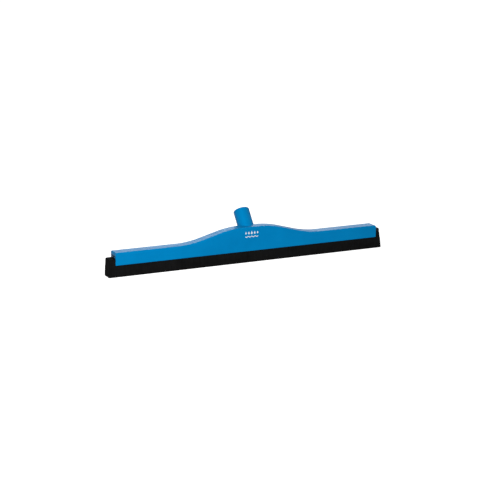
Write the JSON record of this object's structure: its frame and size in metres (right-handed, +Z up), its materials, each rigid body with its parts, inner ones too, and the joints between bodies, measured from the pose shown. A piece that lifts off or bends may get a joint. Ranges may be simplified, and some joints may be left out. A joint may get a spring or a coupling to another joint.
{
  "type": "floor squeegee head",
  "caption": "Long moulded squeegee head with a wave-shaped crest, a leaning threaded handle socket and a slide-in cassette of soft cellular rubber blades.",
  "frame": {"origin": "on the floor, at the middle of the head's footprint: X = 0 is the middle of the blades' length, Z = 0 is the floor plane under the blade lips", "axes": "+X along the blades, +Y to the back where the handle socket leans, +Z up"},
  "size_m": [0.6, 0.0618, 0.1049],
  "materials": {
    "frame_plastic": "satin injection-moulded polypropylene, blue",
    "rail_plastic": "satin extruded polypropylene, black",
    "cellular_rubber": "matte closed-cell rubber, black, with fine cut cells"
  },
  "bodies": {
    "frame": {"squeegee_frame": "frame_plastic"},
    "cassette": {"cassette_rail": "rail_plastic", "front_blade": "cellular_rubber", "rear_blade": "cellular_rubber"}
  },
  "joints": [
    {"name": "cassette_slide", "type": "slide", "parent": "frame", "child": "cassette", "axis": [1, 0, 0], "range_m": [0, 0.58]}
  ]
}
